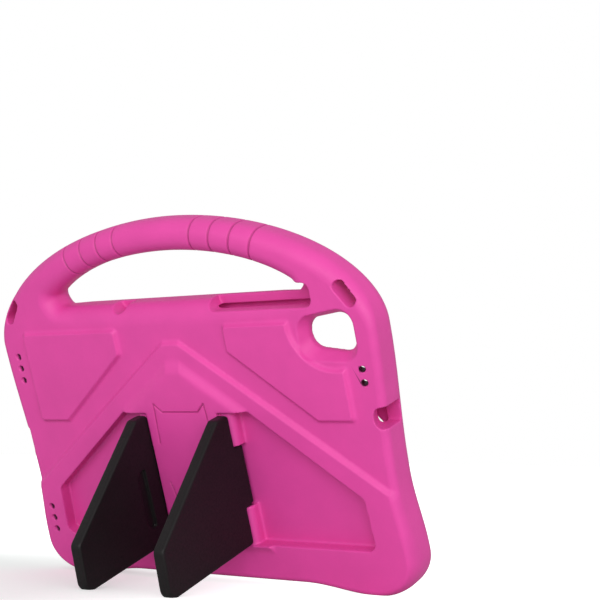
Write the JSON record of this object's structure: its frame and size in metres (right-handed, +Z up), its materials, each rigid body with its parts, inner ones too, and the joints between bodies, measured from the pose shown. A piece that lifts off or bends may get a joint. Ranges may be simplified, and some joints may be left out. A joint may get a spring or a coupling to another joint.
{
  "type": "kids tablet case",
  "caption": "Moulded foam tablet case with an arched carrying handle, raised back pattern, port openings and folding plate legs that prop it up",
  "frame": {"origin": "middle of the bounding box's bottom, on the table it stands on", "axes": "+X along the case's length, to the right as seen from the back; -Y the side the leaning back faces and the legs stand out to; +Z up"},
  "size_m": [0.2236, 0.0948, 0.172],
  "materials": {
    "foam": "matte moulded foam",
    "leg_plastic": "matte black moulded plastic",
    "pin": "plain steel wire"
  },
  "bodies": {
    "case": {"case_body": "foam", "left_hinge_pin": "pin", "right_hinge_pin": "pin"},
    "left_leg": {"left_leg": "leg_plastic"},
    "right_leg": {"right_leg": "leg_plastic"}
  },
  "joints": [
    {"name": "right_leg_fold", "type": "hinge", "parent": "case", "child": "right_leg", "pos_m": [0.0245, 0.00009, 0.08223], "axis": [0, -0.3491, 0.9371], "range_deg": [0, 90]},
    {"name": "left_leg_fold", "type": "hinge", "parent": "case", "child": "left_leg", "pos_m": [-0.0245, 0.00009, 0.08223], "axis": [0, 0.3491, -0.9371], "range_deg": [0, 90]}
  ]
}
